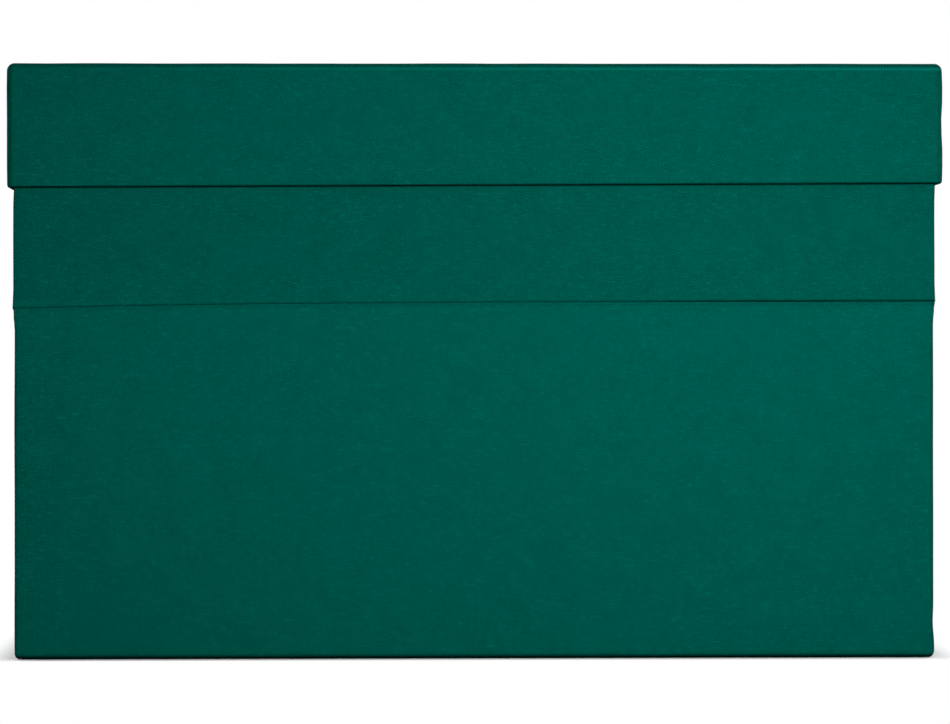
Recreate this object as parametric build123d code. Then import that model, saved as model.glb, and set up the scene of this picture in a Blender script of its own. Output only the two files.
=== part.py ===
from build123d import *

import os

# A file box of grey board covered in book cloth, with a lift-off lid and a drop front.
# Sizes are in millimetres, Z is up, the front faces -Y, and the origin lies on the ground
# under the middle of the box. Boards keep the box in shape, the cloth is glued round
# them, and the upper part of the front is a flap that turns on a crease in the cloth.

# Overall size, over the cloth of the lid
LENGTH = 400.0
DEPTH = 318.0
HEIGHT = 254.6
LID_RIM = 51.7

# Thickness of each material
BOARD = 1.8
CLOTH = 0.4
PAPER = 0.3
STAY = 0.2

# How the pieces fit
LID_PLAY = 0.3
FLAP_STANDS_OUT = 0.6

# The cloth hinge of the drop front
CREASE_HEIGHT = 152.0
GROOVE = 1.0
ROLL = 2.3
FLARE_OUT = 0.9
FLARE_HEIGHT = 7.0

# Widths of cloth and paper that are turned over an edge or cover a joint
TURN_IN = 20.0
TURN_UNDER = 16.0
HINGE_STRIP = 40.0
STAY_LEG = 12.5
STAY_END_GAP = 4.0
SHEET_MARGIN = 4.0

# Rounded edges, over the cloth
LID_CORNER = 3.2
LID_MOUTH = 1.0
BODY_CORNER = 1.6
BODY_FOOT = 2.0
WALL_EDGE = 1.0

# The lid, from the outside in
lid_x = LENGTH / 2
lid_y = DEPTH / 2
lid_low = HEIGHT - LID_RIM
lid_wall = CLOTH + BOARD + CLOTH
lid_inner_x = lid_x - lid_wall
lid_inner_y = lid_y - lid_wall
lid_board_x = lid_x - CLOTH - BOARD
lid_board_y = lid_y - CLOTH - BOARD
lid_board_under = HEIGHT - CLOTH - BOARD
ceiling = lid_board_under - PAPER
lid_turn_top = lid_low + TURN_IN

# The body hangs its walls between the ground and the underside of the lid
flap_x = lid_inner_x - LID_PLAY
body_x = flap_x - FLAP_STANDS_OUT
body_y = lid_inner_y - LID_PLAY
body_top = ceiling
cover_low = CLOTH
board_low = cover_low + CLOTH
floor_top = board_low + BOARD
lined_floor = floor_top + PAPER

# Faces of the boards and of what is glued to their inner sides
board_x = body_x - CLOTH - BOARD
board_y = body_y - CLOTH - BOARD
turned_x = board_x - CLOTH
turned_y = board_y - CLOTH
lined_x = board_x - PAPER
lined_y = board_y - PAPER
turn_edge = body_top - TURN_IN
flap_turn_x = flap_x - TURN_IN

# Heights round the crease
roll_top = CREASE_HEIGHT - GROOVE / 2
flap_low = CREASE_HEIGHT + GROOVE / 2
strip_low = CREASE_HEIGHT - HINGE_STRIP / 2
strip_top = CREASE_HEIGHT + HINGE_STRIP / 2

# Tools that cut reach well past the box
BEYOND = LENGTH


def slab(x_range, y_range, z_range):
    """A block between two x, two y and two z values."""
    ranges = (x_range, y_range, z_range)
    size = [high - low for low, high in ranges]
    middle = [(low + high) / 2 for low, high in ranges]
    return Pos(*middle) * Box(*size)


def across(half):
    """The range from minus a half width to plus it."""
    return (-half, half)


def profile(across_range, up_range, radii):
    """A rectangle with a radius at each corner, from the lower left anticlockwise."""
    left, right = across_range
    low, high = up_range
    face = Pos((left + right) / 2, (low + high) / 2) * Rectangle(right - left, high - low)
    corners = ((left, low), (right, low), (right, high), (left, high))
    for (corner_x, corner_y), radius in zip(corners, radii):
        if radius > 0:
            vertex = face.vertices().sort_by_distance((corner_x, corner_y, 0))[0]
            face = fillet(vertex, radius)
    return face


def block(plan, front_view, side_view):
    """The solid that has the given outlines from above, from the front and from the side."""
    solid = extrude(plan, amount=BEYOND, both=True)
    solid &= extrude(Plane.XZ * front_view, amount=BEYOND, both=True)
    solid &= extrude(Plane.YZ * side_view, amount=BEYOND, both=True)
    return solid


def body_below_crease(inset):
    """The body up to the roll of the hinge, with its outside moved in by inset."""
    half_x = body_x - inset
    half_y = body_y - inset
    corner = BODY_CORNER - inset
    foot = BODY_FOOT - inset
    heights = (cover_low + inset, roll_top - inset)
    plan = profile(across(half_x), across(half_y), (corner,) * 4)
    front_view = profile(across(half_x), heights, (foot, foot, 0, 0))
    side_view = profile(across(half_y), heights, (foot, foot, 0, ROLL - inset))
    return block(plan, front_view, side_view)


def body_above_crease(inset):
    """The walls above the hinge, as one block that starts well inside the lower one."""
    half_x = body_x - inset
    depth_range = (-turned_y + inset, body_y - inset)
    corner = BODY_CORNER - inset
    edge = WALL_EDGE - inset
    heights = (strip_low, body_top - inset)
    plan = profile(across(half_x), depth_range, (edge, edge, corner, corner))
    front_view = profile(across(half_x), heights, (0, 0, edge, edge))
    side_view = profile(depth_range, heights, (0, 0, edge, edge))
    return block(plan, front_view, side_view)


def body_form(inset):
    """The whole body without its flap, with its outside moved in by inset."""
    return body_below_crease(inset) + body_above_crease(inset)


def flap_form(inset):
    """The flap of the drop front, with its outside moved in by inset."""
    half_x = flap_x - inset
    depth_range = (-body_y + inset, -turned_y - inset)
    heights = (flap_low + inset, body_top - inset)
    edge = WALL_EDGE - inset
    plan = profile(across(half_x), depth_range, (edge, edge, 0, 0))
    front_view = profile(across(half_x), heights, (0, 0, edge, edge))
    side_view = profile(depth_range, heights, (edge, 0, 0, edge))
    return block(plan, front_view, side_view)


def lid_form(inset):
    """The open lid, with every outside and inside face moved into its wall by inset."""
    outer = slab(across(lid_x - inset), across(lid_y - inset), (lid_low + inset, HEIGHT - inset))
    top_edges = outer.edges().group_by(Axis.Z)[-1]
    outer = fillet(outer.edges().filter_by(Axis.Z) + top_edges, LID_CORNER - inset)
    outer = fillet(outer.edges().group_by(Axis.Z)[0], LID_MOUTH - inset)
    hollow_height = lid_board_under if inset else ceiling
    hollow = slab(
        across(lid_inner_x + inset), across(lid_inner_y + inset), (0, hollow_height)
    )
    return outer - hollow


def corner_posts(half_x, half_y, leg, z_range, sides):
    """Upright blocks round the corners of a plan, to pick out what lies at a corner."""
    posts = []
    for side_x in (-1, 1):
        for side_y in sides:
            x_range = sorted((side_x * (half_x - leg), side_x * BEYOND))
            y_range = sorted((side_y * (half_y - leg), side_y * BEYOND))
            posts.append(slab(x_range, y_range, z_range))
    return posts


body_skin_inside = body_form(CLOTH)
lower_inside = body_below_crease(CLOTH)
lid_boards_form = lid_form(CLOTH)


def base_corner_stays():
    """Paper angles glued over the corners of the boards, under the cloth."""
    layer = body_skin_inside - body_form(CLOTH + STAY)
    stay_low = board_low + STAY_END_GAP
    back_range = (stay_low, body_top - STAY_END_GAP)
    front_range = (stay_low, roll_top - ROLL - STAY_END_GAP)
    posts = corner_posts(body_x, body_y, STAY_LEG, back_range, (1,))
    posts += corner_posts(body_x, body_y, STAY_LEG, front_range, (-1,))
    return Compound(children=[layer & post for post in posts])


def lid_corner_stays():
    """The same paper angles over the four corners of the lid's rim."""
    layer = lid_boards_form - lid_form(CLOTH + STAY)
    stay_range = (lid_low + STAY_END_GAP, HEIGHT - LID_CORNER - STAY_END_GAP)
    inside = slab(across(lid_board_x + STAY), across(lid_board_y + STAY), (0, HEIGHT))
    posts = corner_posts(lid_x, lid_y, STAY_LEG, stay_range, (-1, 1))
    return Compound(children=[(layer & post) - inside for post in posts])


def without(solid, pieces):
    """A board with the places of the paper stays pressed into it."""
    for piece in pieces.solids():
        solid -= piece
    return solid


def body_boards(stays):
    """Grey boards: front and back run the full width, the sides stand between them."""
    full_x = across(body_x - CLOTH)
    all_z = (board_low, body_top - CLOTH)
    outer_x = body_x - CLOTH
    outer_y = body_y - CLOTH
    places = {
        "left_board": ((-outer_x, -board_x), across(board_y), all_z),
        "right_board": ((board_x, outer_x), across(board_y), all_z),
        "back_board": (full_x, (board_y, outer_y), all_z),
        "lower_front_board": (full_x, (-outer_y, -board_y), (board_low, roll_top - CLOTH)),
    }
    boards = {
        name: without(body_skin_inside & slab(*place), stays) for name, place in places.items()
    }
    boards["bottom_board"] = slab(across(board_x), across(board_y), (board_low, floor_top))
    boards["flap_board"] = flap_form(CLOTH)
    return boards


def lid_boards(stays):
    """The lid's boards: a top between four rims, front and back over the full width."""
    full_x = across(lid_x - CLOTH)
    outer_x = lid_x - CLOTH
    outer_y = lid_y - CLOTH
    rim_z = (lid_low + CLOTH, HEIGHT - CLOTH)
    places = {
        "lid_front_board": (full_x, (-outer_y, -lid_board_y), rim_z),
        "lid_back_board": (full_x, (lid_board_y, outer_y), rim_z),
        "lid_left_board": ((-outer_x, -lid_board_x), across(lid_board_y), rim_z),
        "lid_right_board": ((lid_board_x, outer_x), across(lid_board_y), rim_z),
        "lid_top_board": (across(lid_board_x), across(lid_board_y), (lid_board_under, HEIGHT)),
    }
    return {
        name: without(lid_boards_form & slab(*place), stays) for name, place in places.items()
    }


def side_turn_ins():
    """Cloth that comes over the top and round the front edge of each side wall."""
    strips = []
    for side in (-1, 1):
        x_range = sorted((side * turned_x, side * board_x))
        top_y = (-turned_y + CLOTH, board_y)
        strips.append(slab(x_range, top_y, (turn_edge, body_top - CLOTH)))
        edge_y = (-turned_y + CLOTH, -turned_y + TURN_IN)
        strips.append(slab(x_range, edge_y, (roll_top - CLOTH, turn_edge)))
    return strips


def side_and_back_cloth():
    """One length of cloth round the sides and the back, turned in, over and under."""
    cloth = body_form(0) - body_skin_inside
    cloth -= slab(across(turned_x), (-BEYOND, turned_y), (board_low, BEYOND))
    bottom_window = (across(body_x - TURN_UNDER), across(body_y - TURN_UNDER), (0, board_low))
    cloth -= slab(*bottom_window)
    front_tab_end = -body_y + TURN_UNDER
    cloth -= slab(across(BEYOND), (-BEYOND, front_tab_end), (0, roll_top - CLOTH))
    cloth -= slab(across(BEYOND), (-BEYOND, -turned_y), (0, roll_top))
    cloth += slab(across(turned_x), (turned_y, board_y), (turn_edge, body_top - CLOTH))
    for strip in side_turn_ins():
        cloth += strip
    return cloth


def corner_flare():
    """The cloth spreads at each end of the roll, to reach the edge of the wider flap."""
    depth = body_y - board_y
    middle = Pos(0, -body_y + depth / 2, 0)
    narrow = middle * Pos(0, 0, roll_top - FLARE_HEIGHT) * Rectangle(2 * body_x, depth)
    wide = middle * Pos(0, 0, roll_top) * Rectangle(2 * (body_x + FLARE_OUT), depth)
    wedge = loft([narrow, wide])
    heights = (cover_low, roll_top)
    side_view = profile(across(body_y), heights, (0, 0, 0, ROLL))
    plan = profile(
        across(body_x + FLARE_OUT), across(body_y), (BODY_CORNER, BODY_CORNER, 0, 0)
    )
    wedge &= extrude(Plane.YZ * side_view, amount=BEYOND, both=True)
    return wedge & extrude(plan, amount=BEYOND, both=True)


def front_cloth():
    """One piece of cloth over the lower front, through the hinge and round the flap."""
    lower = body_below_crease(0) + corner_flare() - lower_inside
    lower -= slab(across(BEYOND), (-body_y + TURN_UNDER, BEYOND), (0, BEYOND))
    lower -= slab(across(BEYOND), (-board_y, BEYOND), (roll_top - CLOTH, BEYOND))
    lower -= slab(across(board_x), (-board_y, BEYOND), (board_low, BEYOND))
    flap = flap_form(0) - flap_form(CLOTH)
    flap -= slab(across(flap_turn_x), (-board_y, -turned_y), (0, turn_edge))
    web = slab(
        across(body_x), (-board_y - CLOTH, -board_y), (roll_top - CLOTH, flap_low + CLOTH)
    )
    return lower + web + flap


def lid_cloth():
    """Cloth over the top and the rims, brought round the mouth and up the inside."""
    cloth = lid_form(0) - lid_boards_form
    inside = (across(lid_board_x), across(lid_board_y), (lid_turn_top, lid_board_under))
    return cloth - slab(*inside)


def base_sheet():
    """The sheet under the body: it lies on the turned cloth and on the board between."""
    outline_x = body_x - SHEET_MARGIN
    outline_y = body_y - SHEET_MARGIN
    middle_x = body_x - TURN_UNDER
    middle_y = body_y - TURN_UNDER
    sheet = slab(across(outline_x), across(outline_y), (0, cover_low))
    sheet -= slab(across(middle_x - CLOTH), across(middle_y - CLOTH), (0, cover_low))
    return sheet + slab(across(middle_x), across(middle_y), (cover_low, board_low))


def linings():
    """Thin paper on every inner face, up to the edges of the turned-in cloth."""
    wall_z = (lined_floor, turn_edge)
    papers = {
        "floor_lining": slab(across(board_x), across(board_y), (floor_top, lined_floor)),
        "back_lining": slab(across(board_x), (lined_y, board_y), wall_z),
        "flap_lining": slab(
            across(flap_turn_x), (-board_y, -lined_y), (strip_top, turn_edge)
        ),
        "lid_top_lining": slab(
            across(lid_board_x), across(lid_board_y), (ceiling, lid_board_under)
        ),
    }
    turned = side_turn_ins()
    for side, name in ((-1, "left_lining"), (1, "right_lining")):
        x_range = sorted((side * lined_x, side * board_x))
        paper = slab(x_range, across(lined_y), wall_z)
        paper -= slab(x_range, (-BEYOND, -turned_y + CLOTH), (roll_top - CLOTH, BEYOND))
        for strip in turned:
            paper -= strip
        papers[name] = paper
    lower = slab(across(board_x), (-board_y, -lined_y), (lined_floor, roll_top - CLOTH))
    papers["lower_front_lining"] = lower - hinge_strip()
    rim_z = (lid_turn_top, ceiling)
    rim = slab(across(lid_board_x), across(lid_board_y), rim_z)
    rim_hollow = slab(across(lid_board_x - PAPER), across(lid_board_y - PAPER), rim_z)
    papers["lid_rim_lining"] = rim - rim_hollow
    return papers


def hinge_strip():
    """A strip of cloth on the inside that backs the crease across the flap."""
    return slab(across(flap_turn_x), (-board_y, -turned_y), (strip_low, strip_top))


def make_parts():
    """Every piece of the box, by name."""
    base_stays = base_corner_stays()
    lid_stays = lid_corner_stays()
    parts = {
        "base_corner_stays": base_stays,
        "lid_corner_stays": lid_stays,
        "side_and_back_cloth": side_and_back_cloth(),
        "front_cloth": front_cloth(),
        "lid_cloth": lid_cloth(),
        "base_sheet": base_sheet(),
        "hinge_strip": hinge_strip(),
    }
    parts.update(body_boards(base_stays))
    parts.update(lid_boards(lid_stays))
    parts.update(linings())
    return parts


os.makedirs("parts", exist_ok=True)
for part_name, part in make_parts().items():
    export_step(part, f"parts/{part_name}.step")
    print(part_name, f"{len(part.solids())} solid, {part.volume:.0f} mm3")
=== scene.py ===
# %% [markdown]
# # A file box covered in book cloth
#
# The box is made of grey board, with green book cloth glued over every outer face. The frame
# holds its real size: boards, cloth, paper linings and the lid that lifts off. This script
# gives the same box its looks. The cloth is modelled again with its rounded edges, its hinge
# groove and its small faults, because the eye reads the whole box from those few lines.

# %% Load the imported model
import math

import bmesh
import bpy
import numpy as np
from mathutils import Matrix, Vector


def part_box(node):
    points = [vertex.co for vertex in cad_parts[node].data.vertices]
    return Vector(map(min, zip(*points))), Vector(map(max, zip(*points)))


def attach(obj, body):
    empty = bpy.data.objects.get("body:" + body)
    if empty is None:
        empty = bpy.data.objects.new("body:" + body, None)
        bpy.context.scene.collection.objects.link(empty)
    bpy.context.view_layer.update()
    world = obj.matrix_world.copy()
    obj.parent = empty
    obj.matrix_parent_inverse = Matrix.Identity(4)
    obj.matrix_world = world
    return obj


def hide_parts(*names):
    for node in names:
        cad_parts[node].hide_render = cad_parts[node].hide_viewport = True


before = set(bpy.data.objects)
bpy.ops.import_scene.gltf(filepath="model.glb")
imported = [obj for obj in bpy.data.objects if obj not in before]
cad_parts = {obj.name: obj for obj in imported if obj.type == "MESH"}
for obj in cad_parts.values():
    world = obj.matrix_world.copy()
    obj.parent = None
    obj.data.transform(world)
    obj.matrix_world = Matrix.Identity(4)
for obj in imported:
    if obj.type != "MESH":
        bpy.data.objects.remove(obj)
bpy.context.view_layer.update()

# %% [markdown]
# The frame counts in metres, and a box maker thinks in millimetres. One value turns the one
# into the other. The sizes below are read from the frame, so a piece always fits what carries it.
# Only the widths of cloth turned in and turned under are set here, as box makers cut them.

# %% Sizes that come from the frame
MM = 0.001
lid_low, lid_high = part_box("lid_cloth")
front_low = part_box("front_cloth")[0]
wrap_low, wrap_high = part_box("side_and_back_cloth")
flap_board_low, flap_board_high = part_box("flap_board")
lower_board_low, lower_board_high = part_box("lower_front_board")
side_board_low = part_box("right_board")[0]
lid_top_low, lid_top_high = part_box("lid_top_board")
strip_low, strip_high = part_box("hinge_strip")
sheet_low, sheet_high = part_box("base_sheet")

CLOTH = strip_high[1] - strip_low[1]
BOARD = lid_top_high[2] - lid_top_low[2]
WALL = CLOTH + BOARD + CLOTH
TURN_IN = 20 * MM
TURN_UNDER = 16 * MM

front_y = front_low[1]
body_x = wrap_high[0]
body_back = wrap_high[1]
body_top = wrap_high[2]
body_low = wrap_low[2]
side_front_y = front_y + WALL
flap_x = flap_board_high[0] + CLOTH
flap_low_z = flap_board_low[2] - CLOTH
roll_top_z = lower_board_high[2] + CLOTH
groove_y = flap_board_high[1] - CLOTH
tab_end_y = front_y + TURN_UNDER
print(f"cloth {CLOTH / MM:.1f} mm, board {BOARD / MM:.1f} mm, crease at {roll_top_z / MM:.1f} mm")

# %% [markdown]
# Every piece is shaped in edit mode, as by hand: pick some edges, then bevel, extrude or cut
# them. With no mouse, the picking is done by a test on where an edge lies.

# %% Helpers to pick and shape
NEAR = 0.02 * MM
NEAR_ROUND = 5 * NEAR
SMOOTH_BELOW = math.radians(32)


def near(value, target):
    """True where two lengths are the same to a hair."""
    return abs(value - target) < NEAR


def on_outline(x, y, half_x, half_y, radius):
    """True on the outer line of a rectangle with rounded corners, and nowhere inside it."""
    past_x = max(abs(x) - half_x + radius, 0)
    past_y = max(abs(y) - half_y + radius, 0)
    return math.hypot(past_x, past_y) > radius - NEAR_ROUND


def start_box(name, low, high):
    """Add a cube at its size and place, and open it in edit mode."""
    bpy.ops.object.select_all(action="DESELECT")
    middle = [(a + b) / 2 for a, b in zip(low, high)]
    bpy.ops.mesh.primitive_cube_add(size=1, location=middle)
    piece = bpy.context.object
    piece.name = piece.data.name = name
    piece.scale = [b - a for a, b in zip(low, high)]
    bpy.ops.object.transform_apply(location=True, rotation=False, scale=True)
    bpy.ops.object.mode_set(mode="EDIT")
    return piece


def start_sheet(name, low, high, turn):
    """Add a plane between two corners, turned about X to face its way, and open it."""
    bpy.ops.object.select_all(action="DESELECT")
    middle = [(a + b) / 2 for a, b in zip(low, high)]
    angle = math.radians(turn)
    bpy.ops.mesh.primitive_plane_add(size=1, location=middle, rotation=(angle, 0, 0))
    piece = bpy.context.object
    piece.name = piece.data.name = name
    piece.scale = (high[0] - low[0], max(high[1] - low[1], high[2] - low[2]), 1)
    bpy.ops.object.transform_apply(location=True, rotation=True, scale=True)
    bpy.ops.object.mode_set(mode="EDIT")
    return piece


def pick(kind, *tests, sides=None):
    """Select what passes one of the tests at its corners and its middle."""
    bpy.ops.mesh.select_mode(type=kind)
    bpy.ops.mesh.select_all(action="DESELECT")
    mesh = bmesh.from_edit_mesh(bpy.context.object.data)
    elements = {"VERT": mesh.verts, "EDGE": mesh.edges, "FACE": mesh.faces}[kind]
    for element in elements:
        spots = [element.co] if kind == "VERT" else [corner.co for corner in element.verts]
        spots.append(sum(spots, Vector()) / len(spots))
        wanted = any(all(test(*spot) for spot in spots) for test in tests)
        if wanted and (sides is None or len(element.link_faces) == sides):
            element.select_set(True)
    mesh.select_flush_mode()
    bmesh.update_edit_mesh(bpy.context.object.data)


def extrude(move=(0, 0, 0), scale=None, about=(0, 0, 0)):
    """Pull a new edge out of the picked one, by a move or towards a fixed point."""
    bpy.ops.mesh.extrude_region_move(TRANSFORM_OT_translate={"value": move})
    if scale:
        bpy.ops.transform.resize(value=scale, center_override=about)


def bevel(width, segments):
    """Round the picked edges."""
    bpy.ops.mesh.bevel(
        offset=width, segments=segments, affect="EDGES", profile=0.5, clamp_overlap=False
    )


def cut(axis, places):
    """Cut the whole piece along planes square to one axis, to give it finer faces."""
    normal = [float(axis == index) for index in range(3)]
    for place in places:
        bpy.ops.mesh.select_all(action="SELECT")
        spot = [place * direction for direction in normal]
        bpy.ops.mesh.bisect(plane_co=spot, plane_no=normal)


def weld():
    """Join vertices that lie on each other."""
    bpy.ops.mesh.select_all(action="SELECT")
    bpy.ops.mesh.remove_doubles(threshold=NEAR)


def steps(low, high, pitch):
    """Evenly spaced places between two ends, about a pitch apart."""
    count = max(2, round((high - low) / pitch))
    return [low + (high - low) * index / count for index in range(1, count)]


def close_edit():
    """Back to object mode."""
    bpy.ops.object.mode_set(mode="OBJECT")


def reshape(piece, rule):
    """Move every vertex by a rule that takes and returns its x, y and z."""
    mesh = piece.data
    places = np.empty(len(mesh.vertices) * 3)
    mesh.vertices.foreach_get("co", places)
    places = places.reshape(-1, 3)
    moved = np.column_stack(rule(*places.T))
    mesh.vertices.foreach_set("co", moved.ravel())
    mesh.update()


def select_only(piece):
    """Make a piece the only one selected, and the active one."""
    bpy.ops.object.select_all(action="DESELECT")
    piece.select_set(True)
    bpy.context.view_layer.objects.active = piece


def thicken(piece, thickness):
    """Give a sheet its thickness, inwards from the face that shows."""
    select_only(piece)
    modifier = piece.modifiers.new("Solidify", "SOLIDIFY")
    modifier.thickness = thickness
    modifier.offset = -1
    modifier.use_even_offset = False
    bpy.ops.object.modifier_apply(modifier=modifier.name)


def smooth(piece):
    """Shade rounded edges smooth and leave sharp folds sharp."""
    select_only(piece)
    bpy.ops.object.shade_smooth_by_angle(angle=SMOOTH_BELOW)


# %% [markdown]
# A covered box is never quite true. Here the crease climbs from left to right, fast at first
# and then hardly at all, and the mouth of the lid climbs evenly. The glued cloth also follows
# the board in slow, shallow waves. Each of these is one small function of the place, so
# that every piece that meets at a line moves with it.

# %% The small faults of the handwork
CREASE_RISE = 0.35 * MM
CREASE_FALL_LEFT = 2.9 * MM
CREASE_SETTLES = 100 * MM
CREASE_REACH = 45 * MM
MOUTH_SLANT = 0.85 * MM
MOUTH_DROP = 0.75 * MM
WAVE_HEIGHT = 0.03 * MM
WAVE_COUNT = 7
WAVE_LENGTHS = (35, 110)    # the shortest and the longest, in millimetres
WAVE_START = 6.3            # the latest start of a wave, about a full turn in radians
LEAN_STARTS = 6 * MM
LEAN_LEFT = 0.35 * MM
LEAN_RIGHT = 0.2 * MM
SPREAD_LEFT = 0.3 * MM
SPREAD_RIGHT = 0.1 * MM
crease_z = (roll_top_z + flap_low_z) / 2


def ease(value):
    """A soft step from 0 to 1."""
    value = np.clip(value, 0, 1)
    return value * value * (3 - 2 * value)


def crease_rise(x):
    """How much higher than planned the crease lies, from left to right."""
    return CREASE_RISE - CREASE_FALL_LEFT * np.exp(-(x + body_x) / CREASE_SETTLES)


def follow_crease(x, y, z):
    """Lift what lies near the crease with it."""
    share = ease(1 - np.abs(z - crease_z) / CREASE_REACH)
    return x, y, z + crease_rise(x) * share


def follow_mouth(x, y, z):
    """Slant the mouth of the lid, and leave its top level."""
    share = ease((lid_high[2] - z) / (lid_high[2] - lid_low[2]))
    return x, y, z + (MOUTH_SLANT * x / lid_high[0] - MOUTH_DROP) * share


def lean(x, y, z):
    """Under the lid the body stands a little to the left, and widens to its foot."""
    share = ease((lid_low[2] - z) / LEAN_STARTS)
    foot = 1 - np.clip(z / lid_low[2], 0, 1)
    left = -(LEAN_LEFT + SPREAD_LEFT * foot) * ease(-x / body_x)
    right = -(LEAN_RIGHT - SPREAD_RIGHT * foot) * ease(x / body_x)
    return x + share * (left + right), y, z


def lean_outside(x, y, z):
    """Lean the outer layer alone, so that the turned-in cloth stays on its board."""
    outer = np.abs(x) > body_x - WALL / 2
    return np.where(outer, lean(x, y, z)[0], x), y, z


def slow_waves(x, y, z, seed):
    """Shallow waves that a glued cloth shows, as a sum of a few long sines."""
    rng = np.random.default_rng(seed)
    height = np.zeros_like(x)
    for _ in range(WAVE_COUNT):
        direction = rng.normal(size=3)
        direction /= np.linalg.norm(direction)
        length = rng.uniform(*WAVE_LENGTHS) * MM
        along = x * direction[0] + y * direction[1] + z * direction[2]
        height += np.sin(2 * math.pi * along / length + rng.uniform(0, WAVE_START))
    return np.abs(height) * WAVE_HEIGHT


# %% [markdown]
# ## The cloth over the front
#
# On the real box one piece of cloth runs up the lower front, dips into the gap between two
# boards, and goes on over the flap. That dip is the hinge. It could be drawn as a line in a
# material, but then the light would not catch the roll of cloth under it. So it starts as an
# upright plane. A strip is cut out of it and rebuilt further back, which leaves a channel,
# and the two lips of the channel are rounded: wide below, where the cloth rolls over the
# board, and tight above.

# %% Front cloth: plane, groove, tabs and turn-ins
LIP = 1.7 * MM
LIP_STRETCH = 2.9
FLAP_STRETCH = 1.7
FLAP_EDGE = 1.0 * MM
INNER_EDGE = 0.5 * MM
UPRIGHT = 90

front = start_sheet(
    "front_cover", (-body_x, front_y, body_low), (body_x, front_y, body_top), turn=UPRIGHT,
)
cut(2, [roll_top_z, flap_low_z])
pick("FACE", lambda x, y, z: roll_top_z - NEAR < z < flap_low_z + NEAR)
bpy.ops.mesh.delete(type="FACE")
pick("VERT", lambda x, y, z: z > flap_low_z - NEAR)
bpy.ops.transform.resize(value=(flap_x / body_x, 1, 1), center_override=(0, 0, 0))

for lip_z in (roll_top_z, flap_low_z):
    pick("EDGE", lambda x, y, z: near(z, lip_z) and near(y, front_y))
    extrude(move=(0, groove_y - front_y, 0))
pick("EDGE", lambda x, y, z: near(y, groove_y), sides=1)
bpy.ops.mesh.bridge_edge_loops()

# the tabs that go round the lower corners
pick("EDGE", lambda x, y, z: near(abs(x), body_x) and near(y, front_y) and z < crease_z)
extrude(move=(0, TURN_UNDER, 0))

# the rim of the flap, brought to its inner side and turned in
pick(
    "EDGE",
    lambda x, y, z: near(y, front_y) and z > crease_z and near(abs(x), flap_x),
    lambda x, y, z: near(y, front_y) and near(z, body_top),
    sides=1,
)
extrude(move=(0, WALL, 0))
turn_scale = (
    (flap_x - TURN_IN) / flap_x,
    1,
    (body_top - TURN_IN - flap_low_z) / (body_top - flap_low_z),
)
extrude(scale=turn_scale, about=(0, side_front_y, flap_low_z))
cut(1, [groove_y])
weld()

# the lower edge, turned under the box
pick("EDGE", lambda x, y, z: near(z, body_low), sides=1)
under_scale = ((body_x - TURN_UNDER) / body_x, 0, 1)
extrude(scale=under_scale, about=(0, tab_end_y, body_low))
print("front cloth corners:", len(bmesh.from_edit_mesh(front.data).verts))

# %% Front cloth: rounded edges, and finer faces
FACE = 7 * MM
FINE_FROM_X = body_x - 9 * MM
FINE_TO_Z = 30 * MM
FINE_WIDE = 0.7 * MM
FINE_TALL = 1.5 * MM
pick(
    "EDGE",
    lambda x, y, z: near(abs(x), body_x) and near(y, front_y) and z < crease_z,
    lambda x, y, z: near(z, body_low) and near(y, front_y),
    lambda x, y, z: near(z, body_low) and near(abs(x), body_x),
    lambda x, y, z: near(z, roll_top_z) and near(y, front_y),
    lambda x, y, z: near(z, roll_top_z) and near(abs(x), body_x) and y < groove_y + NEAR,
    sides=2,
)
bevel(LIP, segments=5)
pick(
    "EDGE",
    lambda x, y, z: near(z, flap_low_z) and near(y, front_y),
    lambda x, y, z: near(abs(x), flap_x) and near(y, front_y) and z > crease_z,
    lambda x, y, z: near(z, body_top) and near(y, front_y),
    sides=2,
)
bevel(FLAP_EDGE, segments=4)
pick(
    "EDGE",
    lambda x, y, z: near(abs(x), flap_x) and near(y, side_front_y) and z > crease_z,
    lambda x, y, z: near(z, body_top) and near(y, side_front_y),
    sides=2,
)
bevel(INNER_EDGE, segments=2)
cut(0, steps(-body_x + LIP, body_x - LIP, FACE))
cut(2, steps(body_low + LIP, roll_top_z - LIP, FACE))
cut(2, steps(flap_low_z + FLAP_EDGE, body_top - FLAP_EDGE, FACE))
cut(0, steps(FINE_FROM_X, body_x - LIP, FINE_WIDE))
cut(2, steps(body_low + LIP, FINE_TO_Z, FINE_TALL))
print("front cloth faces:", len(bmesh.from_edit_mesh(front.data).faces))
close_edit()

# %% [markdown]
# The lower lip is stretched downwards, because the cloth rolls over a crushed board edge that
# is taller than it is deep. At both ends of the crease the cloth spreads to reach the wider
# flap. Low on the right there is a small pinch, where the cloth was caught as it dried: a dent
# with a ridge beside it, and an outline that draws in at its height and swells below it.

# %% Front cloth: roll, flare and pinch
FLARE = 0.9 * MM
FLAP_FLARE = 0.3 * MM
FLARE_REACH = 7 * MM
FLARE_ABOVE = 9 * MM
FLARE_BACK = 9 * MM
END = 3 * MM                # how far in from its ends the front is drawn outwards
FOOT_STRETCH = 1.4
GROOVE_SHARE = 0.48
GROOVE_DEEPENS = 0.2
DEEPENS_FAST = 2            # per half width, from left to right
DEEPENS_LATE = 0.2
PINCH_X = body_x - 4.6 * MM
PINCH_Z = 16 * MM
PINCH_DEEP = 0.32 * MM
PINCH_WIDE = 0.8 * MM
PINCH_TALL = 4.5 * MM
RIDGE_ASIDE = 2.6           # in widths of the pinch
RIDGE_SPREAD = 1.4
RIDGE_SHARE = 0.35
WAIST_DEEP = 0.3 * MM
WAIST_TALL = 5 * MM
WAIST_Z = 15.5 * MM
SWELL_Z = 5 * MM
outer_layer = front_y + 0.6 * WALL


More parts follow.
